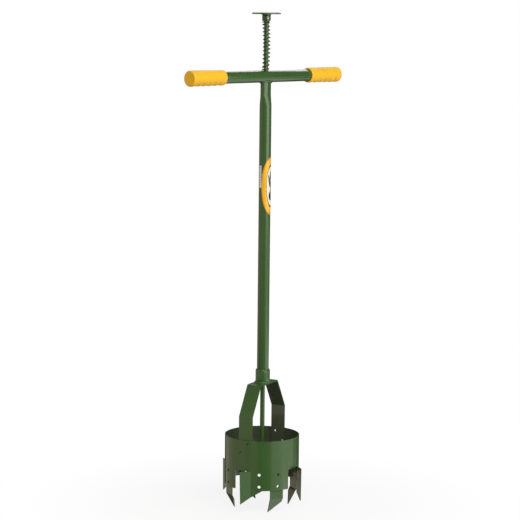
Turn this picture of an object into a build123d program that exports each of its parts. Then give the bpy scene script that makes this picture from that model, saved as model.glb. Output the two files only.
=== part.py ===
from build123d import *
import os
from math import cos, pi, radians, sin, sqrt, tan

# Long-handled bulb planter with a push-to-eject soil plug, in millimetres.
# +Z runs up the shaft and +X along the handlebar. The origin lies on the shaft's axis,
# level with the tips of the four cutting teeth that the planter stands on.

# Overall
overall_height = 1066.8  # tooth tips to the top of the push disc
grip_span = 457.0  # over the ends of both grips
head_turn = 15.5  # the cutter head sits this many degrees round from the handlebar

# Handlebar and shaft are cut from the same tube
tube_radius = 12.7
tube_wall = 1.6
bar_height = 932.0
squeeze_x = 13.7  # half widths of the shaft where it is pressed flat under the handlebar
squeeze_y = 8.4
squeeze_bottom = 892.5
squeeze_fade = 871.4
weld_leg = 2.6
edge_chamfer = 0.6

# Grips
grip_length = 96.5
grip_inner_radius = 16.0
grip_outer_radius = 16.6
grip_end_wall = 2.5
grip_end_round = 3.2
grip_mouth_round = 1.0
grip_groove_count = 5
grip_groove_pitch = 16.5
grip_groove_depth = 0.8
grip_groove_radius = 22.0

# Cutter
cutter_radius = 80.5
cutter_wall = 1.6
cutter_rim = 159.8
cutter_bottom = 52.1
quarter_count = 4

# Wings folded out of the cutter wall; angles are counted from the yoke's direction
fold_angle = 10.5
window_width = 28.0
window_top = 94.1
wing_turn = 36.0
wing_length = 25.5
wing_lean = 2.0
fold_bottom = 37.1
wing_tip_height = 23.1
skirt_run = 18.0  # degrees of wall over which the wing's slanted edge runs out

# Cutting teeth
tooth_angle = 52.15
tooth_width = 30.5
tooth_thickness = 2.0
tooth_top = 100.0
tooth_bend_height = 33.0
tooth_bend_angle = 28.9
tooth_bend_radius = 6.0
tooth_tip_offset = 12.4
tooth_short_side = 9.5
tooth_short_lean = 1.0
wall_hole_radius = 3.25
wall_hole_heights = (86.8, 60.7)
spare_hole_angle = 23.5
tooth_hole_angle = 53.5

# Yoke and socket
yoke_width = 32.0
yoke_thickness = 3.2
yoke_top = 273.9
yoke_half_top = 40.0
yoke_bend_height = 210.9
yoke_foot_height = 123.0
yoke_bend_radius = 5.0
yoke_hole_radius = 2.5
yoke_hole_heights = (151.9, 131.9)
yoke_hole_turns = (5.5, -7.5)  # degrees round from the arm's middle
strap_clearance = 0.05  # between the cutter's bore and the edges of yoke arms and teeth
socket_radius = 15.5
socket_top = 301.5
shaft_weld_leg = 1.6

# Push rod, disc and plate
rod_radius = 5.0
rod_bottom = 101.0
rod_hole_radius = 5.8
rod_chamfer = 0.8
disc_radius = 30.4
disc_flat_radius = 24.3  # the disc's rim droops from here outward
disc_thickness = 3.2
disc_droop = 1.1
disc_edge_round = 0.8
collar_radius = 9.1
collar_height = 14.1
pin_height = 1056.0
pin_angle = -122.0
pin_radius = 2.0
pin_head_radius = 3.4
pin_head_height = 1.3
plate_radius = 74.0
plate_thickness = 3.0
plate_gap = 0.1  # between the plate at rest and the yoke's feet
washer_radius = 11.0
washer_thickness = 2.0
nut_flats = 17.0
nut_height = 8.4

# Return spring
spring_radius = 7.25
spring_wire_radius = 1.05
spring_turns = 13
spring_clearance = 0.05
seat_radius = 8.6
seat_thickness = 1.2

# Labels
label_thickness = 0.2
oval_centre_height = 699.5
oval_half_height = 61.5
oval_half_wrap = 102.0
oval_seam_overlap = 0.5  # the two halves of the oval run into each other by this much
oval_spans = 8  # spans of the curve from the oval's foot to its top
oval_angle = -69.0
note_low = 696.0
note_high = 743.0
note_half_wrap = 57.5
note_angle = 130.0
note_corner = 2.0

# Worked out from the above
tube_inner = tube_radius - tube_wall
bar_top = bar_height + tube_radius
cutter_inner = cutter_radius - cutter_wall
cutter_mid = cutter_radius - cutter_wall / 2
disc_bottom = overall_height - disc_thickness
collar_bottom = disc_bottom - collar_height
seat_bottom = collar_bottom - seat_thickness
plate_top = yoke_foot_height - plate_gap
plate_bottom = plate_top - plate_thickness
strap_reach = cutter_inner - strap_clearance
tooth_face = sqrt(strap_reach**2 - (tooth_width / 2) ** 2)
yoke_face = sqrt(strap_reach**2 - (yoke_width / 2) ** 2)
wall_reach = cutter_radius + wing_length + wing_lean  # past everything on the cutter
quarter_angles = [head_turn + 90 * step for step in range(quarter_count)]


def outward(angle):
    """Level direction away from the axis at angle."""
    return Vector(cos(radians(angle)), sin(radians(angle)), 0)


def facing(angle):
    """Vertical plane through the axis, looking out at angle: x runs round the axis, y is up."""
    return Plane((0, 0, 0), x_dir=outward(angle + 90), z_dir=outward(angle))


def upright(angle, height=0):
    """Vertical plane that holds the direction angle: x runs outward, y is up from height."""
    return Plane((0, 0, height), x_dir=outward(angle), z_dir=outward(angle - 90))


def line_meets_circle(start, direction, radius):
    """Point where a line from start, with a unit direction, first meets a circle round the origin."""
    along = start[0] * direction[0] + start[1] * direction[1]
    rest = start[0] ** 2 + start[1] ** 2 - radius**2
    travel = -along - sqrt(along**2 - rest) if along < 0 else -along + sqrt(along**2 - rest)
    return (start[0] + travel * direction[0], start[1] + travel * direction[1])


# Handlebar: a plain tube, drilled through for the push rod
bar_half = grip_span / 2 - grip_end_wall
with BuildPart() as handlebar:
    with BuildSketch(Plane.YZ.offset(-bar_half)):
        with Locations((0, bar_height)):
            Circle(tube_radius)
            Circle(tube_inner, mode=Mode.SUBTRACT)
    extrude(amount=2 * bar_half)
    with Locations((0, 0, bar_top)):
        Hole(rod_hole_radius)


# Grips: closed vinyl sleeves with finger grooves along the underside
with BuildPart() as grip_right:
    with BuildSketch(upright(0, bar_height)):
        with BuildLine():
            Polyline(
                (grip_span / 2 - grip_length, tube_radius),
                (grip_span / 2 - grip_length, grip_inner_radius),
                (grip_span / 2, grip_outer_radius),
                (grip_span / 2, 0),
                (bar_half, 0),
                (bar_half, tube_radius),
                close=True,
            )
        make_face()
    revolve(axis=Axis((0, 0, bar_height), (1, 0, 0)))
    fillet(grip_right.edges().filter_by(GeomType.CIRCLE).group_by(Axis.X)[-1], grip_end_round)
    mouth_edges = grip_right.edges().filter_by(GeomType.CIRCLE).group_by(Axis.X)[0]
    fillet(mouth_edges.sort_by(SortBy.RADIUS)[-1], grip_mouth_round)
    groove_drop = grip_outer_radius + grip_groove_radius - grip_groove_depth
    first_groove = grip_span / 2 - grip_length / 2 - grip_groove_pitch * (grip_groove_count - 1) / 2
    for step in range(grip_groove_count):
        with BuildSketch(Plane.XZ.offset(-grip_outer_radius)):
            with Locations((first_groove + step * grip_groove_pitch, bar_height - groove_drop)):
                Circle(grip_groove_radius)
        extrude(amount=2 * grip_outer_radius, mode=Mode.SUBTRACT)

with BuildPart() as grip_left:
    mirror(grip_right.part, about=Plane.YZ)


# Shaft: a tube pressed flat at the top and coped to the handlebar
def shaft_body(radius, half_x, half_y):
    """The shaft's outside or bore, from the socket up to the middle of the handlebar."""
    with BuildPart() as body:
        with BuildSketch(Plane.XY.offset(yoke_top)):
            Circle(radius)
        extrude(amount=squeeze_fade - yoke_top)
        with BuildSketch(Plane.XY.offset(squeeze_fade)):
            Circle(radius)
        with BuildSketch(Plane.XY.offset(squeeze_bottom)):
            Ellipse(half_x, half_y)
        loft()
        with BuildSketch(Plane.XY.offset(squeeze_bottom)):
            Ellipse(half_x, half_y)
        extrude(amount=bar_height - squeeze_bottom)
    return body.part


def bar_solid(radius):
    """A solid round bar where the handlebar lies, for coping and for weld beads."""
    with BuildPart() as bar:
        with BuildSketch(Plane.YZ):
            with Locations((0, bar_height)):
                Circle(radius)
        extrude(amount=3 * tube_radius, both=True)
    return bar.part


with BuildPart() as shaft_tube:
    add(shaft_body(tube_radius, squeeze_x, squeeze_y))
    add(shaft_body(tube_inner, squeeze_x - tube_wall, squeeze_y - tube_wall), mode=Mode.SUBTRACT)
    add(bar_solid(tube_radius), mode=Mode.SUBTRACT)

with BuildPart() as handle_weld:
    with BuildSketch(Plane.XY.offset(squeeze_bottom)):
        Ellipse(squeeze_x + weld_leg, squeeze_y + weld_leg)
        Ellipse(squeeze_x, squeeze_y, mode=Mode.SUBTRACT)
    extrude(amount=bar_height - squeeze_bottom)
    add(bar_solid(tube_radius + weld_leg), mode=Mode.INTERSECT)
    add(bar_solid(tube_radius), mode=Mode.SUBTRACT)


# Labels: an oval wrapped round the front of the shaft and a care note behind it
def label_sleeve(low, high):
    """Thin sleeve on the shaft that the labels are cut from."""
    with BuildPart() as sleeve:
        with BuildSketch(Plane.XY.offset(low)):
            Circle(tube_radius + label_thickness)
            Circle(tube_radius, mode=Mode.SUBTRACT)
        extrude(amount=high - low)
    return sleeve.part


def oval_half(side):
    """One half of the oval, cut along the direction that looks straight at that half."""
    view_angle = side * oval_half_wrap / 2
    outline = []
    for step in range(oval_spans + 1):
        rise = -cos(pi * step / oval_spans)
        wrap = side * oval_half_wrap * sin(pi * step / oval_spans)
        across = tube_radius * sin(radians(wrap - view_angle))
        outline.append((across, oval_centre_height + rise * oval_half_height))
    with BuildPart() as half:
        add(label_sleeve(oval_centre_height - oval_half_height, oval_centre_height + oval_half_height))
        seam = outline[0][0] - side * oval_seam_overlap
        with BuildSketch(facing(oval_angle + view_angle)):
            with BuildLine():
                Spline(*outline)
                Polyline(outline[-1], (seam, outline[-1][1]), (seam, outline[0][1]), outline[0])
            make_face()
        extrude(amount=2 * tube_radius, mode=Mode.INTERSECT)
    return half.part


with BuildPart() as oval_label:
    add(oval_half(1))
    add(oval_half(-1))

with BuildPart() as care_note:
    add(label_sleeve(note_low, note_high))
    with BuildSketch(facing(note_angle)):
        with Locations((0, (note_low + note_high) / 2)):
            note_width = 2 * tube_radius * sin(radians(note_half_wrap))
            RectangleRounded(note_width, note_high - note_low, note_corner)
    extrude(amount=2 * tube_radius, mode=Mode.INTERSECT)


# Socket: a ring on the yoke that holds the foot of the shaft
with BuildPart() as socket_collar:
    with BuildSketch(Plane.XY.offset(yoke_top)):
        Circle(socket_radius)
        Circle(tube_radius, mode=Mode.SUBTRACT)
    extrude(amount=socket_top - yoke_top)
    chamfer(socket_collar.edges().group_by(Axis.Z)[-1].sort_by(SortBy.RADIUS)[-1], edge_chamfer)


def ring_weld(radius, height, leg):
    """Domed fillet weld round a post of radius; a negative leg hangs it under the face at height."""
    foot = (radius + abs(leg), height)
    toe = (radius, height + leg)
    with BuildPart() as bead:
        with BuildSketch(Plane.XZ):
            with BuildLine():
                Line((radius, height), foot)
                RadiusArc(foot, toe, -2 * leg)
                Line(toe, (radius, height))
            make_face()
        revolve(axis=Axis.Z)
    return bead


socket_weld = ring_weld(socket_radius, yoke_top, weld_leg)
shaft_weld = ring_weld(tube_radius, socket_top, shaft_weld_leg)


# Yoke: a strap folded to a bridge, its arms standing inside the cutter
with BuildPart() as yoke:
    with BuildSketch(upright(head_turn)):
        with BuildLine():
            FilletPolyline(
                (-yoke_face, yoke_foot_height),
                (-yoke_face, yoke_bend_height),
                (-yoke_half_top, yoke_top),
                (yoke_half_top, yoke_top),
                (yoke_face, yoke_bend_height),
                (yoke_face, yoke_foot_height),
                radius=yoke_bend_radius,
            )
            offset(amount=yoke_thickness, side=Side.RIGHT)
        make_face()
    extrude(amount=yoke_width / 2, both=True)
    with Locations((0, 0, yoke_top)):
        Hole(rod_hole_radius, depth=3 * yoke_thickness)
    for side in (0, 180):
        for height, shift in zip(yoke_hole_heights, yoke_hole_turns):
            with BuildSketch(facing(head_turn + side + shift)):
                with Locations((0, height)):
                    Circle(yoke_hole_radius)
            extrude(amount=wall_reach, mode=Mode.SUBTRACT)


# Cutter: a rolled ring with four pointed wings folded outward from windows in its wall
def cutter_quarter():
    """Lower wall of one quarter with its wing; the fold lies at angle zero, the wall runs on round."""
    fold = (cutter_mid, 0)
    along = (sin(radians(wing_turn)), -cos(radians(wing_turn)))
    across = (cos(radians(wing_turn)), sin(radians(wing_turn)))
    faces = []
    for side, radius in ((1, cutter_radius), (-1, cutter_inner)):
        start = (
            fold[0] + side * across[0] * cutter_wall / 2,
            fold[1] + side * across[1] * cutter_wall / 2,
        )
        corner = line_meets_circle(start, along, radius)
        reach = wing_length + wing_lean
        end = (start[0] + reach * along[0], start[1] + reach * along[1])
        faces.append((corner, end))
    (outer_corner, outer_end), (inner_corner, inner_end) = faces
    wall_end = 90 - window_width
    outer_stop = (cutter_radius * cos(radians(wall_end)), cutter_radius * sin(radians(wall_end)))
    inner_stop = (cutter_inner * cos(radians(wall_end)), cutter_inner * sin(radians(wall_end)))
    view = skirt_run / 2
    fold_across = -cutter_mid * sin(radians(view))
    wing_across = sin(radians(90 - wing_turn + view))

    with BuildPart() as quarter:
        with BuildSketch(Plane.XY.offset(wing_tip_height)):
            with BuildLine():
                RadiusArc(outer_corner, outer_stop, -cutter_radius)
                Line(outer_stop, inner_stop)
                RadiusArc(inner_stop, inner_corner, cutter_inner)
                Line(inner_corner, inner_end)
                Line(inner_end, outer_end)
                Line(outer_end, outer_corner)
            make_face()
        extrude(amount=window_top - wing_tip_height)
        with BuildSketch(facing(view)):
            with BuildLine():
                Polyline(
                    (fold_across - wing_length * wing_across, window_top),
                    (fold_across - (wing_length - wing_lean) * wing_across, wing_tip_height),
                    (fold_across, fold_bottom),
                    (-fold_across, cutter_bottom),
                    (cutter_radius, cutter_bottom),
                    (cutter_radius, window_top),
                    close=True,
                )
            make_face()
        extrude(amount=wall_reach, mode=Mode.INTERSECT)
        for hole_angle in (spare_hole_angle, tooth_hole_angle):
            with BuildSketch(facing(hole_angle - fold_angle)):
                for height in wall_hole_heights:
                    with Locations((0, height)):
                        Circle(wall_hole_radius)
            extrude(amount=wall_reach, mode=Mode.SUBTRACT)
    return quarter.part


quarter = cutter_quarter()
with BuildPart() as cutter_cylinder:
    with BuildSketch(Plane.XY.offset(window_top)):
        Circle(cutter_radius)
        Circle(cutter_inner, mode=Mode.SUBTRACT)
    extrude(amount=cutter_rim - window_top)
    for angle in quarter_angles:
        add(Rot(0, 0, angle + fold_angle) * quarter)
    for side in (0, 180):
        for height, shift in zip(yoke_hole_heights, yoke_hole_turns):
            with BuildSketch(facing(head_turn + side + shift)):
                with Locations((0, height)):
                    Circle(yoke_hole_radius)
            extrude(amount=wall_reach, mode=Mode.SUBTRACT)


# Cutting teeth: flat blades inside the wall, their points bent inward
def cutting_tooth(angle):
    """One tooth at its place; its outer face is a chord of the cutter's bore."""
    half = tooth_width / 2
    drop = tooth_bend_height
    lean = drop * tan(radians(tooth_bend_angle))
    short_drop = tooth_short_side * cos(radians(tooth_bend_angle))
    with BuildPart() as tooth:
        with BuildSketch(upright(angle)):
            with BuildLine():
                FilletPolyline(
                    (tooth_face, tooth_top),
                    (tooth_face, tooth_bend_height),
                    (tooth_face - lean, 0),
                    radius=tooth_bend_radius,
                )
                offset(amount=tooth_thickness, side=Side.RIGHT)
            make_face()
        extrude(amount=half, both=True)
        with BuildSketch(facing(angle)):
            with BuildLine():
                Polyline(
                    (-half, tooth_top),
                    (half, tooth_top),
                    (half, tooth_bend_height),
                    (half - tooth_short_lean, tooth_bend_height - short_drop),
                    (-tooth_tip_offset, 0),
                    (-half, tooth_bend_height),
                    close=True,
                )
            make_face()
        extrude(amount=wall_reach, mode=Mode.INTERSECT)
        with BuildSketch(facing(angle + tooth_hole_angle - tooth_angle)):
            for height in wall_hole_heights:
                with Locations((0, height)):
                    Circle(wall_hole_radius)
        extrude(amount=wall_reach, mode=Mode.SUBTRACT)
    return tooth


teeth = [cutting_tooth(angle + tooth_angle) for angle in quarter_angles]


# Push rod, from the disc down to the nut under the ejector plate
with BuildPart() as push_rod:
    with BuildSketch(Plane.XY.offset(rod_bottom)):
        Circle(rod_radius)
    extrude(amount=disc_bottom - rod_bottom)
    chamfer(push_rod.edges().group_by(Axis.Z)[0], rod_chamfer)
    with BuildSketch(facing(pin_angle)):
        with Locations((0, pin_height)):
            Circle(pin_radius)
    extrude(amount=collar_radius, both=True, mode=Mode.SUBTRACT)

with BuildPart() as push_disc:
    with BuildSketch(Plane.XZ):
        with BuildLine():
            Polyline((0, disc_bottom), (0, overall_height), (disc_flat_radius, overall_height))
            TangentArc(
                (disc_flat_radius, overall_height),
                (disc_radius, overall_height - disc_droop),
                tangent=(1, 0),
            )
            Line((disc_radius, overall_height - disc_droop), (disc_radius, disc_bottom - disc_droop))
            TangentArc(
                (disc_flat_radius, disc_bottom),
                (disc_radius, disc_bottom - disc_droop),
                tangent=(1, 0),
            )
            Line((disc_flat_radius, disc_bottom), (0, disc_bottom))
        make_face()
    revolve(axis=Axis.Z)
    rim_edges = push_disc.edges().filter_by(GeomType.CIRCLE).sort_by(SortBy.RADIUS)[-2:]
    fillet(rim_edges, disc_edge_round)

with BuildPart() as push_collar:
    with BuildSketch(Plane.XY.offset(collar_bottom)):
        Circle(collar_radius)
        Circle(rod_radius, mode=Mode.SUBTRACT)
    extrude(amount=collar_height)
    chamfer(push_collar.edges().group_by(Axis.Z)[0].sort_by(SortBy.RADIUS)[-1], edge_chamfer)
    with BuildSketch(facing(pin_angle)):
        with Locations((0, pin_height)):
            Circle(pin_radius)
    extrude(amount=2 * collar_radius, both=True, mode=Mode.SUBTRACT)

# Rivet through collar and rod, domed at both ends
with BuildPart() as collar_pin:
    with BuildSketch(facing(pin_angle)):
        with Locations((0, pin_height)):
            Circle(pin_radius)
    extrude(amount=collar_radius, both=True)
    with BuildSketch(upright(pin_angle, pin_height)):
        with BuildLine():
            Line((collar_radius, 0), (collar_radius + pin_head_height, 0))
            TangentArc(
                (collar_radius + pin_head_height, 0),
                (collar_radius, pin_head_radius),
                tangent=(0, 1),
            )
            Line((collar_radius, pin_head_radius), (collar_radius, 0))
        make_face()
    revolve(axis=Axis((0, 0, pin_height), outward(pin_angle)))
    mirror(about=facing(pin_angle))

disc_weld = ring_weld(collar_radius, disc_bottom, -weld_leg)


# Ejector plate, clamped between two washers and two nuts on the rod
with BuildPart() as ejector_plate:
    with BuildSketch(Plane.XY.offset(plate_bottom)):
        Circle(plate_radius)
        Circle(rod_radius, mode=Mode.SUBTRACT)
    extrude(amount=plate_thickness)
    rim_edges = ejector_plate.edges().filter_by(GeomType.CIRCLE).sort_by(SortBy.RADIUS)[-2:]
    chamfer(rim_edges, edge_chamfer)


def washer_at(height):
    """Plain washer on the rod with its underside at height."""
    with BuildPart() as washer:
        with BuildSketch(Plane.XY.offset(height)):
            Circle(washer_radius)
            Circle(rod_radius, mode=Mode.SUBTRACT)
        extrude(amount=washer_thickness)
    return washer


def nut_at(height):
    """Hexagon nut on the rod with its underside at height, its corners turned off."""
    corner_radius = nut_flats / 2 / cos(radians(30))
    corner_drop = (corner_radius - nut_flats / 2) * tan(radians(30))
    with BuildPart() as nut:
        with BuildSketch(Plane.XY.offset(height)):
            RegularPolygon(corner_radius, 6)
            Circle(rod_radius, mode=Mode.SUBTRACT)
        extrude(amount=nut_height)
        with BuildSketch(Plane.XZ):
            with BuildLine():
                Polyline(
                    (0, height),
                    (nut_flats / 2, height),
                    (corner_radius, height + corner_drop),
                    (corner_radius, height + nut_height - corner_drop),
                    (nut_flats / 2, height + nut_height),
                    (0, height + nut_height),
                    close=True,
                )
            make_face()
        revolve(axis=Axis.Z, mode=Mode.INTERSECT)
    return nut


upper_washer = washer_at(plate_top)
lower_washer = washer_at(plate_bottom - washer_thickness)
upper_nut = nut_at(plate_top + washer_thickness)
lower_nut = nut_at(plate_bottom - washer_thickness - nut_height)


# Return spring between the handlebar and a loose washer under the push collar
with BuildPart() as spring_seat:
    with BuildSketch(Plane.XY.offset(seat_bottom)):
        Circle(seat_radius)
        Circle(rod_hole_radius, mode=Mode.SUBTRACT)
    extrude(amount=seat_thickness)

spring_low = bar_top + spring_wire_radius + spring_clearance
spring_rise = seat_bottom - spring_wire_radius - spring_clearance - spring_low
with BuildPart() as return_spring:
    with BuildLine(Plane.XY.offset(spring_low)):
        coil = Helix(spring_rise / spring_turns, spring_rise, spring_radius)
    with BuildSketch(Plane(coil @ 0, z_dir=coil % 0)):
        Circle(spring_wire_radius)
    sweep(path=coil, is_frenet=True)


# Write every piece as its own named file
pieces = {
    "handlebar": handlebar,
    "grip_left": grip_left,
    "grip_right": grip_right,
    "shaft_tube": shaft_tube,
    "handle_weld": handle_weld,
    "oval_label": oval_label,
    "care_note": care_note,
    "socket_collar": socket_collar,
    "socket_weld": socket_weld,
    "shaft_weld": shaft_weld,
    "yoke": yoke,
    "cutter_cylinder": cutter_cylinder,
    "push_rod": push_rod,
    "push_disc": push_disc,
    "push_collar": push_collar,
    "collar_pin": collar_pin,
    "disc_weld": disc_weld,
    "ejector_plate": ejector_plate,
    "upper_washer": upper_washer,
    "lower_washer": lower_washer,
    "upper_nut": upper_nut,
    "lower_nut": lower_nut,
    "spring_seat": spring_seat,
    "return_spring": return_spring,
}
for number, tooth in enumerate(teeth, start=1):
    pieces[f"cutting_tooth_{number}"] = tooth

os.makedirs("parts", exist_ok=True)
for name, piece in pieces.items():
    piece.part.label = name
    export_step(piece.part, f"parts/{name}.step")
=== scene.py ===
from math import cos, pi, radians, sin, sqrt

import bmesh
import bpy
from mathutils import Matrix, Vector


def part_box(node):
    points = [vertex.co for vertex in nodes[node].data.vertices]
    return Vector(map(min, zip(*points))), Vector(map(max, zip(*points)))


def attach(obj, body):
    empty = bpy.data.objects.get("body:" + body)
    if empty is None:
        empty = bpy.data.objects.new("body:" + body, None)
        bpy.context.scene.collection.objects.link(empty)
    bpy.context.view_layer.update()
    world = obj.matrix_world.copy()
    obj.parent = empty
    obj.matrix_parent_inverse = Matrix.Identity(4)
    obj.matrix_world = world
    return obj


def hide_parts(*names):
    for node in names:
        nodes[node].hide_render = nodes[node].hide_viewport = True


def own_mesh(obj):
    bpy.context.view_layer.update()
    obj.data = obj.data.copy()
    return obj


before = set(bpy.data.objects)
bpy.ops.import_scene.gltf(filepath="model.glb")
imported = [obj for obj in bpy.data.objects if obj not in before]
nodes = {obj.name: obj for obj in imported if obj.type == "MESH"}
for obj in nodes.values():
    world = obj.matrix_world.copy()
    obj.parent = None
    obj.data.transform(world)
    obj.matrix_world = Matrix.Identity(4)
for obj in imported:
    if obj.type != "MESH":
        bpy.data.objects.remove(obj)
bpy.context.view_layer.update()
scene = bpy.context.scene


# heights and radii that several pieces share, all read from the frame
tubeRadius = (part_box("handlebar")[1].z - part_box("handlebar")[0].z) / 2
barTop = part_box("handlebar")[1].z
barMiddle = barTop - tubeRadius
rodRadius = (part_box("push_rod")[1].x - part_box("push_rod")[0].x) / 2
rodLow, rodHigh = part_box("push_rod")[0].z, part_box("push_rod")[1].z

mergeGap = 1e-6  # points closer than this are one point


# Pieces

def addPiece(name, bm, material, body, replaced=(), smoothAngle=35):
    # a finished bmesh becomes an object at the origin that rides on its body
    mesh = bpy.data.meshes.new(name)
    bm.to_mesh(mesh)
    bm.free()
    mesh.materials.append(material)
    mesh.polygons.foreach_set("use_smooth", [True] * len(mesh.polygons))
    mesh.set_sharp_from_angle(angle=radians(smoothAngle))
    piece = bpy.data.objects.new(name, mesh)
    scene.collection.objects.link(piece)
    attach(piece, body)
    if replaced:
        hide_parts(*replaced)
    return piece


def spun(profile, steps=96, axis=(0, 0, 1), centre=(0, 0, 0)):
    # turn a line of points (distance from the axis, place along it) once round the axis
    bm = bmesh.new()
    along = Vector(axis)
    out = Vector((0, 0, 1)) if abs(along.z) < 0.5 else Vector((1, 0, 0))
    points = [bm.verts.new(Vector(centre) + out * r + along * h) for r, h in profile]
    edges = [bm.edges.new(pair) for pair in zip(points, points[1:])]
    bmesh.ops.spin(
        bm, geom=points + edges, cent=centre, axis=axis, angle=2 * pi, steps=steps, use_merge=True,
    )
    bmesh.ops.remove_doubles(bm, verts=bm.verts, dist=mergeGap)
    bmesh.ops.recalc_face_normals(bm, faces=bm.faces)
    return bm


def rounded(points, radius, segments=4, mostOfLeg=0.45):
    # the same line of points with every inner corner turned into a short arc
    line = [Vector(points[0])]
    for before, corner, after in zip(points, points[1:], points[2:]):
        corner = Vector(corner)
        legIn, legOut = Vector(before) - corner, Vector(after) - corner
        reach = min(radius, mostOfLeg * legIn.length, mostOfLeg * legOut.length)
        start, stop = corner + legIn.normalized() * reach, corner + legOut.normalized() * reach
        for step in range(segments + 1):
            t = step / segments
            line.append(start * (1 - t) ** 2 + corner * 2 * t * (1 - t) + stop * t**2)
    line.append(Vector(points[-1]))
    return [tuple(p) for p in line]


def finishedCopy(nodeName, edge, sharpAngle=30, flatAngle=0.4, segments=2):
    # a merged copy of a CAD node with its flat triangles joined and its sharp edges rounded
    bm = bmesh.new()
    bm.from_mesh(nodes[nodeName].data)
    bmesh.ops.remove_doubles(bm, verts=bm.verts, dist=2 * mergeGap)
    bmesh.ops.dissolve_limit(
        bm, angle_limit=radians(flatAngle), verts=bm.verts, edges=bm.edges, delimit=set(),
    )
    sharp = [e for e in bm.edges if e.is_manifold and e.calc_face_angle(0) > radians(sharpAngle)]
    bmesh.ops.bevel(
        bm, geom=sharp, offset=edge, offset_type="OFFSET", segments=segments, profile=0.5,
        affect="EDGES", clamp_overlap=True, material=-1,
    )
    return bm


formShading = {
    "smoothAngle": 40,  # faces that meet more sharply than this share no shading
    "wallSlack": 0.0006,  # how far a round wall's faces lie from its radius
    "wallFacing": 0.985,  # how squarely they face away from the axis or towards it
}


def shadeByForm(piece, values, wallRadii=()):
    # flats stay flat beside their rounded edges, and round walls shade as true cylinders
    mesh = piece.data
    around = [[] for _ in mesh.vertices]
    for face in mesh.polygons:
        for index in face.vertices:
            around[index].append(face.index)
    faceNormals = [face.normal.copy() for face in mesh.polygons]
    areas = [face.area for face in mesh.polygons]
    limit = cos(radians(values["smoothAngle"]))
    normals = [Vector((0, 0, 1))] * len(mesh.loops)
    for face in mesh.polygons:
        own = faceNormals[face.index]
        middle = Vector((face.center.x, face.center.y, 0))
        radial = middle.normalized()
        atWall = any(abs(middle.length - radius) < values["wallSlack"] for radius in wallRadii)
        onWall = atWall and abs(own.dot(radial)) > values["wallFacing"]
        for corner in face.loop_indices:
            vertex = mesh.loops[corner].vertex_index
            if onWall:
                place = mesh.vertices[vertex].co
                side = 1 if own.dot(radial) > 0 else -1
                normals[corner] = Vector((place.x, place.y, 0)).normalized() * side
                continue
            total = Vector((0, 0, 0))
            for other in around[vertex]:
                if faceNormals[other].dot(own) > limit:
                    total += faceNormals[other] * areas[other]
            normals[corner] = total.normalized() if total.length > 0 else own
    mesh.normals_split_custom_set(normals)


# painted shade and sheen: how squarely a face looks at the tool's middle, from none of the darker, greyer
# green to all of it
paintedShadeSheenFacing = {"facingFrom": 0.2, "facingTo": 0.6}


def markPaintedShadeSheen(piece, values):
    # painted shade and sheen: faces that look at the tool's middle are marked to take a darker, greyer
    # green that stands in for the shade and dim reflection they show
    mesh = piece.data
    start, fade = values["facingFrom"], values["facingTo"] - values["facingFrom"]
    shares = []
    for face in mesh.polygons:
        radial = Vector((face.center.x, face.center.y, 0)).normalized()
        shares.append(min(1.0, max(0.0, (-face.normal.dot(radial) - start) / fade)))
    mesh.attributes.new("paintedShadeSheen", "FLOAT", "FACE").data.foreach_set("value", shares)


def closedBead(points, radius, ripplePitch, rippleSwell):
    # a run of weld metal along a closed line, its section swelling with every ripple of the torch
    curve = bpy.data.curves.new("beadPath", "CURVE")
    curve.dimensions = "3D"
    curve.bevel_depth = radius
    curve.bevel_resolution = 3
    spline = curve.splines.new("POLY")
    spline.points.add(len(points) - 1)
    spline.use_cyclic_u = True
    travelled = 0.0
    previous = Vector(points[-1])
    for target, place in zip(spline.points, points):
        travelled += (Vector(place) - previous).length
        previous = Vector(place)
        target.co = (*place, 1)
        target.radius = 1 + rippleSwell * abs(sin(pi * travelled / ripplePitch))
    holder = bpy.data.objects.new("beadPath", curve)
    scene.collection.objects.link(holder)
    mesh = bpy.data.meshes.new_from_object(holder.evaluated_get(bpy.context.evaluated_depsgraph_get()))
    bm = bmesh.new()
    bm.from_mesh(mesh)
    bpy.data.objects.remove(holder)
    bpy.data.curves.remove(curve)
    bpy.data.meshes.remove(mesh)
    bmesh.ops.remove_doubles(bm, verts=bm.verts, dist=mergeGap)
    bmesh.ops.recalc_face_normals(bm, faces=bm.faces)
    return bm


def wrappedPatch(radius, film, centreAngle, halfWrap, low, high, oval, cells=56):
    # a film label bent round the shaft; its UV map is the flat label
    bm = bmesh.new()
    bmesh.ops.create_grid(bm, x_segments=cells, y_segments=cells, size=1)
    uvLayer = bm.loops.layers.uv.new("label")
    flat = {}
    for vert in bm.verts:
        x, y = vert.co.x, vert.co.y
        if oval:
            x, y = x * sqrt(1 - y * y / 2), y * sqrt(1 - x * x / 2)
        flat[vert.index] = (x, y)
    for face in bm.faces:
        for loop in face.loops:
            x, y = flat[loop.vert.index]
            loop[uvLayer].uv = (0.5 + 0.5 * x, 0.5 + 0.5 * y)
    outside = radius + film
    for vert in bm.verts:
        x, y = flat[vert.index]
        angle = radians(centreAngle + x * halfWrap)
        height = (low + high) / 2 + y * (high - low) / 2
        vert.co = (outside * cos(angle), outside * sin(angle), height)
    bmesh.ops.recalc_face_normals(bm, faces=bm.faces)
    bmesh.ops.solidify(bm, geom=bm.faces[:], thickness=0.9 * film)  # leaves it just off the tube
    return bm


# Shader groups

def newGroup(name, inputs, outputs):
    group = bpy.data.node_groups.new(name, "ShaderNodeTree")
    for socketName, kind, value in inputs:
        socket = group.interface.new_socket(socketName, in_out="INPUT", socket_type=kind)
        socket.default_value = value
    for socketName, kind in outputs:
        group.interface.new_socket(socketName, in_out="OUTPUT", socket_type=kind)
    return group, group.nodes.new("NodeGroupInput"), group.nodes.new("NodeGroupOutput")


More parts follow.
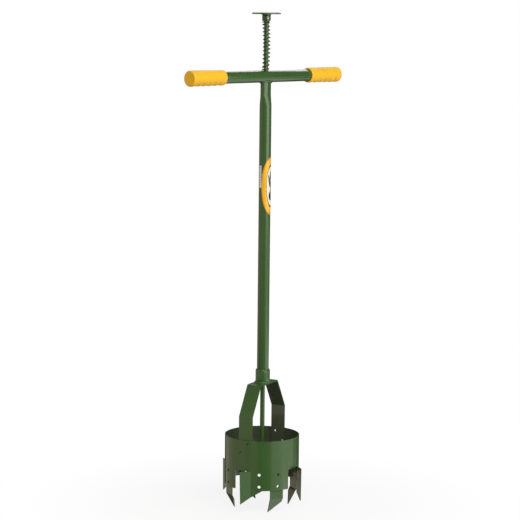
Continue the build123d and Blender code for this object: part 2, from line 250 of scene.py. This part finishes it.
def addNode(tree, kind, inputs=None, **settings):
    node = tree.nodes.new(kind)
    for key, value in settings.items():
        setattr(node, key, value)
    for key, value in (inputs or {}).items():
        if isinstance(value, bpy.types.NodeSocket):
            tree.links.new(value, node.inputs[key])
        else:
            node.inputs[key].default_value = value
    return node


def addMath(tree, operation, a, b=0.0, clamp=False):
    node = tree.nodes.new("ShaderNodeMath")
    node.operation = operation
    node.use_clamp = clamp
    for index, value in enumerate((a, b)):
        if isinstance(value, bpy.types.NodeSocket):
            tree.links.new(value, node.inputs[index])
        else:
            node.inputs[index].default_value = value
    return node.outputs[0]


def mixColour(tree, factor, a, b, blend="MIX"):
    node = tree.nodes.new("ShaderNodeMix")
    node.data_type = "RGBA"
    node.blend_type = blend
    for index, value in ((0, factor), (6, a), (7, b)):
        if isinstance(value, bpy.types.NodeSocket):
            tree.links.new(value, node.inputs[index])
        else:
            node.inputs[index].default_value = value
    return node.outputs[2]


def buildUnevenCoat():
    # slow drift of tone and gloss with the fine orange peel of sprayed enamel or dipped vinyl
    group, start, end = newGroup(
        "unevenCoat",
        [
            ("Base", "NodeSocketColor", (0.5, 0.5, 0.5, 1)),
            ("Drift", "NodeSocketFloat", 0.1),
            ("Drift Scale", "NodeSocketFloat", 18.0),
            ("Gloss", "NodeSocketFloat", 0.3),
            ("Peel Scale", "NodeSocketFloat", 700.0),
        ],
        [("Color", "NodeSocketColor"), ("Roughness", "NodeSocketFloat"), ("Height", "NodeSocketFloat")],
    )
    place = addNode(group, "ShaderNodeTexCoord").outputs["Object"]
    slow = addNode(
        group, "ShaderNodeTexNoise",
        {"Vector": place, "Scale": start.outputs["Drift Scale"], "Detail": 3.0, "Roughness": 0.55},
    ).outputs["Fac"]
    fine = addNode(
        group, "ShaderNodeTexNoise",
        {"Vector": place, "Scale": start.outputs["Peel Scale"], "Detail": 2.0, "Roughness": 0.5},
    ).outputs["Fac"]
    swing = addMath(group, "MULTIPLY", addMath(group, "SUBTRACT", slow, 0.5), start.outputs["Drift"])
    light = addMath(group, "ADD", 1.0, addMath(group, "MULTIPLY", swing, 2.0))
    tone = addNode(group, "ShaderNodeHueSaturation", {"Color": start.outputs["Base"], "Value": light})
    group.links.new(tone.outputs["Color"], end.inputs["Color"])
    gloss = addMath(group, "ADD", start.outputs["Gloss"], addMath(group, "MULTIPLY", swing, 0.5), True)
    group.links.new(gloss, end.inputs["Roughness"])
    group.links.new(fine, end.inputs["Height"])
    return group


unevenCoat = buildUnevenCoat()


def newMaterial(name):
    material = bpy.data.materials.new(name)
    material.use_nodes = True
    tree = material.node_tree
    return material, tree, tree.nodes["Principled BSDF"]


def coatedMaterial(name, values):
    material, tree, shader = newMaterial(name)
    coat = addNode(tree, "ShaderNodeGroup", None, node_tree=unevenCoat)
    for key in ("Base", "Drift", "Drift Scale", "Gloss", "Peel Scale"):
        coat.inputs[key].default_value = values[key]
    # painted shade and sheen: marked faces turn towards the darker, greyer inside colour
    if "inside" in values:
        share = addNode(tree, "ShaderNodeAttribute", None, attribute_name="paintedShadeSheen").outputs["Fac"]
        tree.links.new(mixColour(tree, share, values["Base"], values["inside"]), coat.inputs["Base"])
    bump = addNode(
        tree, "ShaderNodeBump",
        {"Height": coat.outputs["Height"], "Strength": values["bump"], "Distance": values["bumpDepth"]},
    )
    tree.links.new(coat.outputs["Color"], shader.inputs["Base Color"])
    tree.links.new(coat.outputs["Roughness"], shader.inputs["Roughness"])
    tree.links.new(bump.outputs["Normal"], shader.inputs["Normal"])
    for key, value in values["shader"].items():
        shader.inputs[key].default_value = value
    return material


enamelLook = {
    "Base": (0.048, 0.112, 0.027, 1),
    "inside": (0.062, 0.078, 0.046, 1),  # painted shade and sheen: darker, greyer green on faces that look at the tool's middle
    "Drift": 0.10,
    "Drift Scale": 14.0,
    "Gloss": 0.25,
    "Peel Scale": 620.0,
    "bump": 0.07,
    "bumpDepth": 0.0002,
    "shader": {"IOR": 1.5, "Coat Weight": 0.5, "Coat Roughness": 0.12},
}
springLook = {
    "Base": (0.030, 0.066, 0.018, 1),
    "Drift": 0.05,
    "Drift Scale": 40.0,
    "Gloss": 0.30,
    "Peel Scale": 900.0,
    "bump": 0.05,
    "bumpDepth": 0.0001,
    "shader": {"IOR": 1.5, "Coat Weight": 0.3, "Coat Roughness": 0.15},
}
rivetLook = {
    "Base": (0.42, 0.47, 0.33, 1),
    "Drift": 0.10,
    "Drift Scale": 160.0,
    "Gloss": 0.42,
    "Peel Scale": 1400.0,
    "bump": 0.10,
    "bumpDepth": 0.0001,
    "shader": {"Metallic": 0.7},
}
vinylLook = {
    "Base": (1.0, 0.54, 0.028, 1),
    "Drift": 0.02,
    "Drift Scale": 22.0,
    "Gloss": 0.42,
    "Peel Scale": 900.0,
    "bump": 0.04,
    "bumpDepth": 0.0002,
    "shader": {
        "IOR": 1.46,
        "Specular IOR Level": 0.3,
        "Subsurface Weight": 0.1,
        "Subsurface Scale": 0.002,
    },
}
greenEnamel = coatedMaterial("greenEnamel", enamelLook)
springEnamel = coatedMaterial("springEnamel", springLook)
rivetZinc = coatedMaterial("rivetZinc", rivetLook)
yellowVinyl = coatedMaterial("yellowVinyl", vinylLook)


zincLook = {
    "dark": (0.42, 0.43, 0.44, 1),
    "light": (0.74, 0.75, 0.74, 1),
    "spangle": 260.0,
    "smoothest": 0.22,
    "roughest": 0.42,
}


def zincMaterial(values):
    material, tree, shader = newMaterial("zincPlate")
    place = addNode(tree, "ShaderNodeTexCoord").outputs["Object"]
    spangle = addNode(
        tree, "ShaderNodeTexNoise", {"Vector": place, "Scale": values["spangle"], "Detail": 4.0},
    ).outputs["Fac"]
    tone = addNode(tree, "ShaderNodeValToRGB", {"Fac": spangle})
    tone.color_ramp.elements[0].color = values["dark"]
    tone.color_ramp.elements[1].color = values["light"]
    tree.links.new(tone.outputs["Color"], shader.inputs["Base Color"])
    rough = addNode(
        tree, "ShaderNodeMapRange",
        {"Value": spangle, "To Min": values["smoothest"], "To Max": values["roughest"]},
    )
    tree.links.new(rough.outputs["Result"], shader.inputs["Roughness"])
    shader.inputs["Metallic"].default_value = 1.0
    return material


def maskBelow(tree, value, limit, soft=0.012):
    # 1 where value is under limit, with a thin printed edge
    return addNode(
        tree, "ShaderNodeMapRange",
        {"Value": value, "From Min": limit - soft, "From Max": limit + soft, "To Min": 1.0, "To Max": 0.0},
    ).outputs["Result"]


def roundDistance(tree, across, up, x, y, width, tall, turn=0.0):
    # 1 on the outline of an ellipse centred at x, y on the flat label
    dx, dy = addMath(tree, "SUBTRACT", across, x), addMath(tree, "SUBTRACT", up, y)
    c, s = cos(radians(turn)), sin(radians(turn))
    px = addMath(tree, "ADD", addMath(tree, "MULTIPLY", dx, c), addMath(tree, "MULTIPLY", dy, s))
    py = addMath(tree, "SUBTRACT", addMath(tree, "MULTIPLY", dy, c), addMath(tree, "MULTIPLY", dx, s))
    px, py = addMath(tree, "DIVIDE", px, width), addMath(tree, "DIVIDE", py, tall)
    squares = addMath(tree, "ADD", addMath(tree, "MULTIPLY", px, px), addMath(tree, "MULTIPLY", py, py))
    return addMath(tree, "POWER", squares, 0.5)


ovalPrint = {
    "field": (1.0, 0.52, 0.03, 1),
    "edge": (0.80, 0.33, 0.015, 1),
    "panel": (0.93, 0.86, 0.66, 1),
    "line": (0.16, 0.085, 0.02, 1),
    "ink": (0.02, 0.035, 0.015, 1),
    "edgeFrom": 0.93,
    "panelSize": (0.50, 0.70),
    "lineFrom": 0.96,
    "lineTo": 1.06,
    # bulb, stem and leaves of a plain sprouting-bulb sign: x, y, half width, half height, turn
    "sign": [
        (0.0, -0.34, 0.26, 0.16, 0),
        (0.0, -0.20, 0.08, 0.14, 0),
        (0.0, 0.04, 0.035, 0.26, 0),
        (-0.17, 0.16, 0.09, 0.26, 32),
        (0.17, 0.16, 0.09, 0.26, -32),
        (0.0, 0.36, 0.12, 0.16, 0),
    ],
    "signSoft": 0.06,
    "roughness": 0.32,
    "varnish": 0.3,
}


def flatPlace(tree):
    # the label's own coordinates, -1 to 1 each way, from its UV map
    uv = addNode(tree, "ShaderNodeUVMap", uv_map="label").outputs["UV"]
    parts = addNode(tree, "ShaderNodeSeparateXYZ", {"Vector": uv}).outputs
    doubled = [addMath(tree, "MULTIPLY", parts[axis], 2.0) for axis in ("X", "Y")]
    return [addMath(tree, "SUBTRACT", value, 1.0) for value in doubled]


def ovalMaterial(values):
    material, tree, shader = newMaterial("ovalPrint")
    across, up = flatPlace(tree)
    whole = roundDistance(tree, across, up, 0, 0, 1, 1)
    colour = mixColour(tree, maskBelow(tree, whole, values["edgeFrom"]), values["edge"], values["field"])
    width, tall = values["panelSize"]
    panel = roundDistance(tree, across, up, 0, 0, width, tall)
    colour = mixColour(tree, maskBelow(tree, panel, values["lineTo"]), colour, values["line"])
    colour = mixColour(tree, maskBelow(tree, panel, values["lineFrom"]), colour, values["panel"])
    for x, y, halfWide, halfTall, turn in values["sign"]:
        spot = roundDistance(tree, across, up, x, y, halfWide, halfTall, turn)
        colour = mixColour(tree, maskBelow(tree, spot, 1.0, values["signSoft"]), colour, values["ink"])
    tree.links.new(colour, shader.inputs["Base Color"])
    shader.inputs["Roughness"].default_value = values["roughness"]
    shader.inputs["Coat Weight"].default_value = values["varnish"]
    return material


notePrint = {
    "paper": (0.86, 0.86, 0.78, 1),
    "ink": (0.50, 0.50, 0.45, 1),
    "rows": 9.0,
    "rowFill": 0.42,
    "rowSoft": 0.05,
    "margin": 0.86,
    "roughness": 0.5,
}


def noteMaterial(values):
    # plain grey bars where small print would be
    material, tree, shader = newMaterial("notePrint")
    across, up = flatPlace(tree)
    counted = addMath(tree, "MULTIPLY", addMath(tree, "ADD", up, 1.0), values["rows"] / 2)
    bars = maskBelow(tree, addMath(tree, "FRACT", counted), values["rowFill"], values["rowSoft"])
    inside = addMath(
        tree, "MULTIPLY",
        maskBelow(tree, addMath(tree, "ABSOLUTE", across), values["margin"]),
        maskBelow(tree, addMath(tree, "ABSOLUTE", up), values["margin"]),
    )
    colour = mixColour(tree, addMath(tree, "MULTIPLY", bars, inside), values["paper"], values["ink"])
    tree.links.new(colour, shader.inputs["Base Color"])
    shader.inputs["Roughness"].default_value = values["roughness"]
    return material


zincPlate = zincMaterial(zincLook)
ovalInk = ovalMaterial(ovalPrint)
noteInk = noteMaterial(notePrint)
print("materials ready")


# Camera and light

cameraView = {
    "azimuth": -47.0,
    "distance": 4.179,
    "height": 1.0898,
    "pitch": 7.5,
    "roll": 0.59,
    "sideways": 0.0084,
    "lens": 136.1,
    "farthest": 100,
}


def addCamera(values):
    turn, pitch, roll = (radians(values[key]) for key in ("azimuth", "pitch", "roll"))
    away = Vector((sin(turn), -cos(turn), 0))
    right = Vector((cos(turn), sin(turn), 0))
    look = (-away * cos(pitch) - Vector((0, 0, sin(pitch)))).normalized()
    up = right.cross(look)
    rolledRight = right * cos(roll) + up * sin(roll)
    rolledUp = up * cos(roll) - right * sin(roll)
    place = away * values["distance"] + Vector((0, 0, values["height"])) - right * values["sideways"]
    data = bpy.data.cameras.new("camera")
    data.lens = values["lens"]
    data.clip_end = values["farthest"]
    camera = bpy.data.objects.new("camera", data)
    axes = Matrix((rolledRight, rolledUp, -look)).transposed().to_4x4()
    camera.matrix_world = Matrix.Translation(place) @ axes
    scene.collection.objects.link(camera)
    scene.camera = camera


addCamera(cameraView)

studioPanels = {
    # name: (degrees round from the camera, distance, height, aim height, width, tall, watts, colour)
    "keyPanel": (52, 2.6, 1.2, 1.2, 2.5, 1.9, 35, (1.0, 1.0, 0.96)),
    "keySpill": (70, 2.6, -0.4, -0.4, 4.6, 1.3, 11, (1.0, 1.0, 0.88)),
    "leftPanel": (-101, 2.6, 0.5, 0.5, 5.4, 3.0, 25, (1.0, 0.88, 0.64)),
    "highPanel": (10, 2.6, 2.9, 0.5, 2.6, 1.6, 82, (1.0, 1.0, 1.0)),
    "backPanel": (165, 3.0, 2.4, 1.0, 2.6, 1.4, 24, (1.0, 1.0, 1.0)),
    "lowPanel": (-36, 2.6, -0.35, -0.35, 2.0, 1.6, 3, (1.0, 0.92, 0.66)),
    "armPanel": (-58, 2.6, 1.75, 0.3, 1.8, 1.1, 2.6, (1.0, 0.78, 0.62)),
    "underPanel": (100, 0.9, -0.9, 3.0, 3.0, 3.0, 26, (1.0, 1.0, 1.0)),
}


def addPanels(table):
    for name, (turn, distance, height, aim, width, tall, watts, colour) in table.items():
        data = bpy.data.lights.new(name, "AREA")
        data.shape = "RECTANGLE"
        data.size, data.size_y, data.energy, data.color = width, tall, watts, colour
        panel = bpy.data.objects.new(name, data)
        angle = radians(cameraView["azimuth"] + turn)
        place = Vector((sin(angle) * distance, -cos(angle) * distance, height))
        facing = (Vector((0, 0, aim)) - place).to_track_quat("-Z", "Y").to_matrix().to_4x4()
        panel.matrix_world = Matrix.Translation(place) @ facing
        scene.collection.objects.link(panel)


studioWorld = {"colour": (0.93, 0.95, 1.0, 1), "strength": 0.05}


def addWorld(values):
    # the room is white to the eye and dark to everything else, so the panels do the lighting
    world = bpy.data.worlds.new("studio")
    scene.world = world
    world.use_nodes = True
    tree = world.node_tree
    seen = tree.nodes["Background"]
    seen.inputs["Color"].default_value = (1, 1, 1, 1)
    felt = addNode(tree, "ShaderNodeBackground")
    felt.inputs["Color"].default_value = values["colour"]
    felt.inputs["Strength"].default_value = values["strength"]
    path = addNode(tree, "ShaderNodeLightPath")
    mix = addNode(tree, "ShaderNodeMixShader", {0: path.outputs["Is Camera Ray"]})
    tree.links.new(felt.outputs[0], mix.inputs[1])
    tree.links.new(seen.outputs[0], mix.inputs[2])
    tree.links.new(mix.outputs[0], tree.nodes["World Output"].inputs["Surface"])


floorLook = {
    "radius": 30,
    "sides": 96,
    "paper": (0.9, 0.9, 0.9, 1),
    "roughness": 0.9,
    "shadowShare": 0.14,
    "fadeFrom": 0.12,
    "fadeTo": 0.6,
}


def addFloor(values):
    # pale paper that glows white, with a trace of shadow under the cutter
    # only the camera sees it, and only from above
    material, tree, shader = newMaterial("paleFloor")
    shader.inputs["Base Color"].default_value = values["paper"]
    shader.inputs["Roughness"].default_value = values["roughness"]
    shader.inputs["Specular IOR Level"].default_value = 0.0
    place = addNode(tree, "ShaderNodeTexCoord").outputs["Object"]
    reach = addNode(tree, "ShaderNodeVectorMath", {0: place}, operation="LENGTH").outputs["Value"]
    fade = addNode(
        tree, "ShaderNodeMapRange",
        {"Value": reach, "From Min": values["fadeFrom"], "From Max": values["fadeTo"], "To Max": 1.0},
    )
    fade.inputs["To Min"].default_value = 1.0 - values["shadowShare"]
    fade.interpolation_type = "SMOOTHSTEP"
    glow = addNode(tree, "ShaderNodeEmission", {"Color": (1, 1, 1, 1), "Strength": 1.0})
    paper = addNode(tree, "ShaderNodeMixShader", {0: fade.outputs["Result"]})
    tree.links.new(shader.outputs[0], paper.inputs[1])
    tree.links.new(glow.outputs[0], paper.inputs[2])
    clear = addNode(tree, "ShaderNodeBsdfTransparent")
    path = addNode(tree, "ShaderNodeLightPath")
    above = addMath(tree, "SUBTRACT", 1.0, addNode(tree, "ShaderNodeNewGeometry").outputs["Backfacing"])
    seen = addMath(tree, "MULTIPLY", path.outputs["Is Camera Ray"], above)
    mix = addNode(tree, "ShaderNodeMixShader", {0: seen})
    tree.links.new(clear.outputs[0], mix.inputs[1])
    tree.links.new(paper.outputs[0], mix.inputs[2])
    tree.links.new(mix.outputs[0], tree.nodes["Material Output"].inputs["Surface"])
    bm = bmesh.new()
    bmesh.ops.create_circle(bm, cap_ends=True, segments=values["sides"], radius=values["radius"])
    bmesh.ops.recalc_face_normals(bm, faces=bm.faces)
    for face in bm.faces:
        if face.normal.z < 0:
            face.normal_flip()
    mesh = bpy.data.meshes.new("floor")
    bm.to_mesh(mesh)
    bm.free()
    mesh.materials.append(material)
    floor = bpy.data.objects.new("floor", mesh)
    scene.collection.objects.link(floor)


addPanels(studioPanels)
addWorld(studioWorld)
addFloor(floorLook)
scene.view_settings.view_transform = "Standard"
print("camera, light and floor ready")


# Sheet metal, tube and turned parts that keep their CAD shape, with rounded edges

# node: (body, rounding of its sharp edges, whether it is a tube, sheet metal or a turned part)
steelParts = {
    "handlebar": ("frame", 0.0003, "tube"),
    "shaft_tube": ("frame", 0.0003, "tube"),
    "socket_collar": ("frame", 0.0005, "turned"),
    "yoke": ("frame", 0.0006, "sheet"),
    "cutter_cylinder": ("frame", 0.0004, "sheet"),
    "cutting_tooth_1": ("frame", 0.0005, "sheet"),
    "cutting_tooth_2": ("frame", 0.0005, "sheet"),
    "cutting_tooth_3": ("frame", 0.0005, "sheet"),
    "cutting_tooth_4": ("frame", 0.0005, "sheet"),
    "push_collar": ("ejector", 0.0004, "turned"),
    "ejector_plate": ("ejector", 0.0005, "turned"),
}
zincParts = {"upper_nut": 0.0003, "lower_nut": 0.0003, "upper_washer": 0.0003, "lower_washer": 0.0003}


def cutterWall(rimBand=0.0001):
    # inner and outer radius of the cutter's round wall, read at its rim
    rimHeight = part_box("cutter_cylinder")[1].z
    vertices = nodes["cutter_cylinder"].data.vertices
    reach = [vert.co.xy.length for vert in vertices if vert.co.z > rimHeight - rimBand]
    return min(reach), max(reach)


def buildSteel(table):
    for nodeName, (body, edge, kind) in table.items():
        bm = finishedCopy(nodeName, edge)
        piece = addPiece(nodeName + "Finished", bm, greenEnamel, body, [nodeName])
        if kind == "sheet":
            shadeByForm(piece, formShading, cutterWall() if nodeName == "cutter_cylinder" else ())
            # marks the faces that look at the tool's middle for painted shade and sheen
            markPaintedShadeSheen(piece, paintedShadeSheenFacing)


def buildZinc(table):
    for nodeName, edge in table.items():
        bm = finishedCopy(nodeName, edge)
        addPiece(nodeName + "Finished", bm, zincPlate, "ejector", [nodeName])


buildSteel(steelParts)
buildZinc(zincParts)
print("steel parts finished")


# Grips: closed vinyl sleeves with finger ripples under the hand

gripShape = {
    "mouthRadius": 0.0160,
    "endRadius": 0.0166,
    "lip": 0.0016,
    "lipSegments": 5,
    "endRound": 0.0034,
    "endSegments": 6,
    "endFlat": 0.62,  # share of the end's radius where its dish starts
    "dish": 0.0005,
    "tubeGap": 0.0001,
    "tuck": 0.004,  # how far the mouth is seen to line the tube
    "ringStep": 0.0011,
    "sides": 72,
    "rippleCount": 5,
    "ripplePitch": 0.0165,
    "rippleDepth": 0.0010,
    "skin": 0.001,  # nearer the tube than this, nothing ripples
    "underFrom": 0.1,  # ripples fade in from the sides to the underside
    "underTo": 0.8,
}


def buildGrip(name, nodeName, side, values):
    low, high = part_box(nodeName)
    mouth, end = (low.x, high.x) if side > 0 else (high.x, low.x)
    length = abs(end - mouth)
    bore = tubeRadius + values["tubeGap"]
    outer = [
        (bore, values["tuck"]),
        (bore, 0.0),
        (values["mouthRadius"], 0.0),
        (values["endRadius"], length),
        (values["endFlat"] * values["endRadius"], length),
        (0.0, length - values["dish"]),
    ]
    mouthLine = rounded(outer[:4], values["lip"], values["lipSegments"])
    endLine = rounded(outer[2:], values["endRound"], values["endSegments"])
    corners = mouthLine[:-1] + endLine[1:]
    profile = []
    for start, stop in zip(corners, corners[1:]):
        steps = max(1, round((Vector(stop) - Vector(start)).length / values["ringStep"]))
        profile += [tuple(Vector(start).lerp(Vector(stop), k / steps)) for k in range(steps)]
    profile.append(corners[-1])
    bm = spun(profile, values["sides"], (side, 0, 0), (mouth, 0, barMiddle))
    middle = length / 2
    reach = values["rippleCount"] * values["ripplePitch"] / 2
    start, fade = values["underFrom"], values["underTo"] - values["underFrom"]
    for vert in bm.verts:
        along = abs(vert.co.x - mouth) - middle
        radial = Vector((0, vert.co.y, vert.co.z - barMiddle))
        if abs(along) > reach or radial.length < tubeRadius + values["skin"]:
            continue
        under = min(1.0, max(0.0, (-radial.z / radial.length - start) / fade))
        wave = 0.5 + 0.5 * cos(2 * pi * along / values["ripplePitch"])
        vert.co -= radial.normalized() * values["rippleDepth"] * under**2 * (3 - 2 * under) * wave
    addPiece(name, bm, yellowVinyl, "frame", [nodeName], 50)


buildGrip("gripRightVinyl", "grip_right", 1, gripShape)
buildGrip("gripLeftVinyl", "grip_left", -1, gripShape)
print("grips made")


# Return spring: closed coils at both ends, wider pitch low down, bowed a little to one side

springShape = {
    "coilRadius": 0.00725,
    "wireRadius": 0.00105,
    "closedTurns": 0.9,
    "closedPitch": 0.0023,
    "openTurns": 12,
    "pitchSpread": 0.14,
    "bow": 0.0011,
    "endShift": 0.0009,
    "bowAngle": -47.0,
    "endGap": 0.0001,
    "stepsPerTurn": 30,
    "sectionSides": 10,
}


def buildSpring(values):
    low, high = barTop + values["endGap"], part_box("spring_seat")[0].z - values["endGap"]
    wire, count, sides = values["wireRadius"], values["stepsPerTurn"], values["sectionSides"]
    rise = high - low - 2 * wire
    closedRise = values["closedTurns"] * values["closedPitch"]
    openPitch = (rise - 2 * closedRise) / values["openTurns"]
    runs = [(values["closedTurns"], values["closedPitch"])]
    for turn in range(values["openTurns"]):
        share = 1 - 2 * turn / (values["openTurns"] - 1)
        runs.append((1.0, openPitch * (1 + values["pitchSpread"] / 2 * share)))
    runs.append((values["closedTurns"], values["closedPitch"]))
    bm = bmesh.new()
    section = bmesh.ops.create_circle(bm, segments=sides, radius=wire, cap_ends=False)["verts"]
    bmesh.ops.rotate(bm, verts=section, cent=(0, 0, 0), matrix=Matrix.Rotation(pi / 2, 3, "X"))
    bmesh.ops.translate(bm, verts=section, vec=(values["coilRadius"], 0, low + wire))
    bm.edges.ensure_lookup_table()
    last = section + list(bm.edges)
    bmesh.ops.contextual_create(bm, geom=bm.edges[:])
    for turns, pitch in runs:
        steps = round(count * turns)
        made = bmesh.ops.spin(
            bm, geom=last, cent=(0, 0, 0), axis=(0, 0, 1), angle=2 * pi * turns, steps=steps,
            dvec=(0, 0, turns * pitch / steps), use_merge=False,
        )
        last = made["geom_last"]
    bmesh.ops.contextual_create(bm, geom=[e for e in last if isinstance(e, bmesh.types.BMEdge)])
    bmesh.ops.remove_doubles(bm, verts=bm.verts, dist=mergeGap)
    bmesh.ops.recalc_face_normals(bm, faces=bm.faces)
    side = Vector((cos(radians(values["bowAngle"])), sin(radians(values["bowAngle"])), 0))
    for vert in bm.verts:
        share = sin(pi * min(1, max(0, (vert.co.z - low) / (high - low))))
        vert.co += side * (share * (values["bow"] + values["endShift"]) - values["endShift"])
    replaced = ["return_spring"]
    spring = addPiece("returnSpringCoils", bm, springEnamel, "frame", replaced, 60)
    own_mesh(spring)


buildSpring(springShape)
print("spring made")


# Weld beads where shaft, handlebar, yoke and push disc meet

beadShape = {
    "saddleLeg": 0.0026,
    "saddleRadius": 0.0019,
    "saddleSink": 0.0005,
    "saddlePoints": 180,
    "ripplePitch": 0.0024,
    "rippleSwell": 0.16,
    # each ring: radius of the bead, how far it stands out from its tube and up from its plate, points
    "socketRing": (0.0017, 0.0004, 0.0006, 150),
    "shaftRing": (0.0014, 0.0002, 0.0003, 130),
    "discRing": (0.0014, 0.0003, -0.0005, 110),
}


def saddlePoints(values):
    # the line on which the shaft's flattened top meets the underside of the handlebar
    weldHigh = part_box("handle_weld")[1]
    inset, count = values["saddleLeg"] - values["saddleSink"], values["saddlePoints"]
    points = []
    for step in range(count):
        turn = 2 * pi * step / count
        x, y = (weldHigh.x - inset) * cos(turn), (weldHigh.y - inset) * sin(turn)
        points.append((x, y, barMiddle - sqrt(tubeRadius**2 - y * y) - values["saddleSink"]))
    return points


def ringPoints(radius, height, ring):
    out, rise, count = ring[1:]
    reach = radius + out
    return [
        (reach * cos(2 * pi * step / count), reach * sin(2 * pi * step / count), height + rise)
        for step in range(count)
    ]


def buildBead(name, points, radius, body, replaced):
    bm = closedBead(points, radius, beadShape["ripplePitch"], beadShape["rippleSwell"])
    addPiece(name, bm, greenEnamel, body, [replaced], 60)


def buildBeads(values):
    buildBead("handleBead", saddlePoints(values), values["saddleRadius"], "frame", "handle_weld")
    socketLow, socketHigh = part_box("socket_collar")
    collarRadius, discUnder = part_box("push_collar")[1].x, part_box("disc_weld")[1].z
    socketRing, shaftRing, discRing = (values[key] for key in ("socketRing", "shaftRing", "discRing"))
    socketLine = ringPoints(socketHigh.x, socketLow.z, socketRing)
    shaftLine = ringPoints(tubeRadius, socketHigh.z, shaftRing)
    discLine = ringPoints(collarRadius, discUnder, discRing)
    buildBead("socketBead", socketLine, socketRing[0], "frame", "socket_weld")
    buildBead("shaftBead", shaftLine, shaftRing[0], "frame", "shaft_weld")
    buildBead("discBead", discLine, discRing[0], "ejector", "disc_weld")


buildBeads(beadShape)
print("weld beads made")


# Push disc, collar rivet, spring washer and the threaded push rod

discShape = {
    "flat": 0.80,  # shares of the disc's radius
    "shoulder": 0.93,
    "droop": 0.0011,
    "topDroop": 0.4,  # shares of the droop reached at the shoulder
    "underDroop": 0.45,
    "edge": 0.0008,
    "sides": 128,
}


def buildDisc(values):
    low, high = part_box("push_disc")
    radius, flat, shoulder = high.x, values["flat"] * high.x, values["shoulder"] * high.x
    under, droop = rodHigh, values["droop"]
    outline = [
        (0.0, high.z),
        (flat, high.z),
        (shoulder, high.z - values["topDroop"] * droop),
        (radius, high.z - droop),
        (radius, low.z),
        (shoulder, under - values["underDroop"] * droop),
        (flat, under),
        (0.0, under),
    ]
    bm = spun(rounded(outline, values["edge"]), values["sides"])
    addPiece("pushDiscPressed", bm, greenEnamel, "ejector", ["push_disc"], 40)


rodShape = {
    "threadTop": 0.142,
    "pitch": 0.0015,
    "depth": 0.0009,
    "rootSink": 0.0002,
    "crest": (0.45, 0.55),  # shares of the pitch between which the crest is flat
    "tip": 0.0008,
    "runOut": 0.001,
    "sides": 48,
    "stepsPerTurn": 36,
}


def buildRod(values):
    core, tip = rodRadius - values["depth"], values["tip"]
    outline = [
        (0.0, rodLow),
        (core - tip, rodLow),
        (core, rodLow + tip),
        (core, values["threadTop"]),
        (rodRadius, values["threadTop"] + values["runOut"]),
        (rodRadius, rodHigh),
        (0.0, rodHigh),
    ]
    bm = spun(outline, values["sides"])
    addPiece("pushRodDrawn", bm, greenEnamel, "ejector", ["push_rod"])


def buildThread(values):
    # one ridge wound up the rod's foot
    pitch, count = values["pitch"], values["stepsPerTurn"]
    core, start = rodRadius - values["depth"], rodLow + values["tip"]
    root, (crestLow, crestHigh) = core - values["rootSink"], values["crest"]
    turns = int((values["threadTop"] - rodLow - values["tip"]) / pitch)
    ridge = [
        (root, 0.0),
        (core, 0.0),
        (rodRadius, crestLow * pitch),
        (rodRadius, crestHigh * pitch),
        (core, pitch),
        (root, pitch),
    ]
    bm = bmesh.new()
    section = [bm.verts.new((reach, 0, start + rise)) for reach, rise in ridge]
    bm.faces.new(section)
    bm.edges.ensure_lookup_table()
    made = bmesh.ops.spin(
        bm, geom=section + bm.edges[:], cent=(0, 0, 0), axis=(0, 0, 1), angle=2 * pi * turns,
        steps=count * turns, dvec=(0, 0, pitch / count), use_merge=False,
    )
    lastEdges = [e for e in made["geom_last"] if isinstance(e, bmesh.types.BMEdge)]
    bmesh.ops.contextual_create(bm, geom=lastEdges)
    bmesh.ops.recalc_face_normals(bm, faces=bm.faces)
    addPiece("rodThread", bm, zincPlate, "ejector", [], 20)


rivetShape = {
    "angle": -122.0,
    "shank": 0.0020,
    "head": 0.0039,
    "rise": 0.0013,
    "sink": 0.0006,
    "domeSteps": 8,
    "sides": 40,
}


def buildRivet(values):
    # a domed head on each side of the collar
    low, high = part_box("collar_pin")
    collarRadius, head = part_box("push_collar")[1].x, values["head"]
    line = []
    for step in range(values["domeSteps"] + 1):
        slope = pi / 2 * step / values["domeSteps"]
        line.append((head * sin(slope), collarRadius + values["rise"] * cos(slope)))
    seat = collarRadius - values["sink"]
    line += [(head, seat), (values["shank"], seat)]
    line += [(reach, -along) for reach, along in reversed(line)]
    angle = radians(values["angle"])
    bm = spun(line, values["sides"], (cos(angle), sin(angle), 0), (0, 0, (low.z + high.z) / 2))
    addPiece("collarRivet", bm, rivetZinc, "ejector", ["collar_pin"], 40)


seatShape = {"hole": 0.0058, "seam": 0.0070, "edge": 0.0003, "edgeSegments": 3, "sides": 64}


def buildSeat(values):
    low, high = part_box("spring_seat")
    outline = [
        (values["seam"], low.z),
        (high.x, low.z),
        (high.x, high.z),
        (values["hole"], high.z),
        (values["hole"], low.z),
        (values["seam"], low.z),
    ]
    bm = spun(rounded(outline, values["edge"], values["edgeSegments"]), values["sides"])
    addPiece("springWasher", bm, greenEnamel, "spring_seat", ["spring_seat"], 40)


buildDisc(discShape)
buildRod(rodShape)
buildThread(rodShape)
buildRivet(rivetShape)
buildSeat(seatShape)
print("push parts made")


# Labels

labelShape = {
    "film": 0.0002,
    "oval": (-69.0, 102.0),  # degrees round the shaft, and half the degrees that the label wraps
    "note": (130.0, 57.5),
}


def buildLabels(values):
    low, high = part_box("oval_label")
    angle, halfWrap = values["oval"]
    bm = wrappedPatch(tubeRadius, values["film"], angle, halfWrap, low.z, high.z, True)
    addPiece("ovalLabelFilm", bm, ovalInk, "frame", ["oval_label"], 60)
    low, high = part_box("care_note")
    angle, halfWrap = values["note"]
    bm = wrappedPatch(tubeRadius, values["film"], angle, halfWrap, low.z, high.z, False)
    addPiece("careNoteFilm", bm, noteInk, "frame", ["care_note"], 60)


buildLabels(labelShape)
print("labels made")
